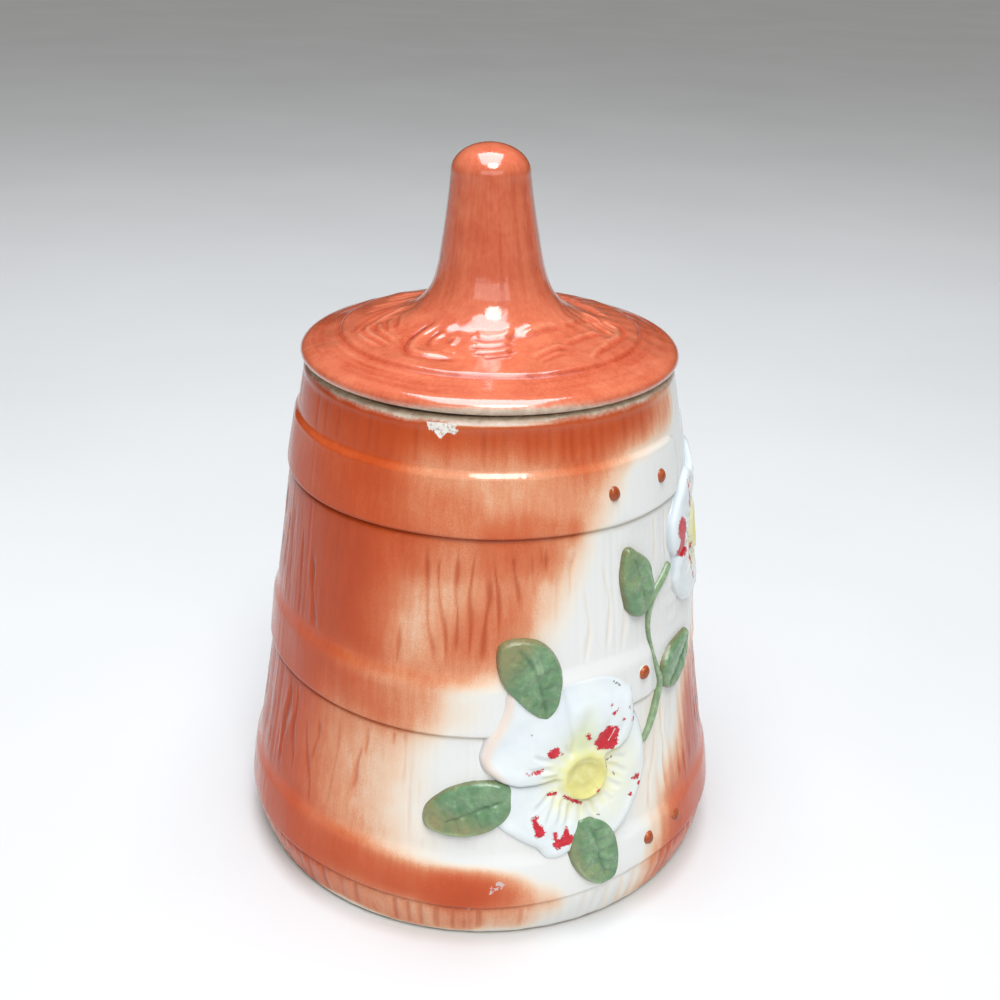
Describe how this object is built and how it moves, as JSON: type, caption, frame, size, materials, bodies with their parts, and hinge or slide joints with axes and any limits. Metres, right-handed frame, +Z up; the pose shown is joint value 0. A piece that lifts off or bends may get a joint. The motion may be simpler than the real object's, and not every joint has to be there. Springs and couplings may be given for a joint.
{
  "type": "biscuit jar",
  "caption": "Glazed ceramic biscuit jar shaped like a wooden butter churn, with raised blossoms and leaves on the wall and a lift-off lid with a tall knob.",
  "frame": {"origin": "centre of the foot, on the surface the jar stands on", "axes": "+Z up along the jar's axis; the side that carries the lower blossom faces -Y, and the upper blossom faces +X"},
  "size_m": [0.1897, 0.1898, 0.27],
  "materials": {
    "body_glaze": "airbrushed terracotta fading to cream under a clear gloss glaze",
    "lid_glaze": "terracotta under a clear gloss glaze",
    "petal_glaze": "white gloss glaze with a yellow centre and worn red cold paint",
    "leaf_glaze": "mottled green gloss glaze",
    "vine_glaze": "green gloss glaze",
    "rivet_glaze": "brown gloss glaze"
  },
  "bodies": {
    "jar": {"jar_body": "body_glaze", "lower_blossom": "petal_glaze", "upper_blossom": "petal_glaze", "leaf_mid": "leaf_glaze", "leaf_left": "leaf_glaze", "leaf_bottom": "leaf_glaze", "leaf_upper": "leaf_glaze", "leaf_right": "leaf_glaze", "vine_stem": "vine_glaze", "hoop_rivets": "rivet_glaze"},
    "cover": {"lid": "lid_glaze"}
  },
  "joints": [
    {"name": "lid_lift", "type": "slide", "parent": "jar", "child": "cover", "axis": [0, 0, 1], "range_m": [0, 0.1]}
  ]
}
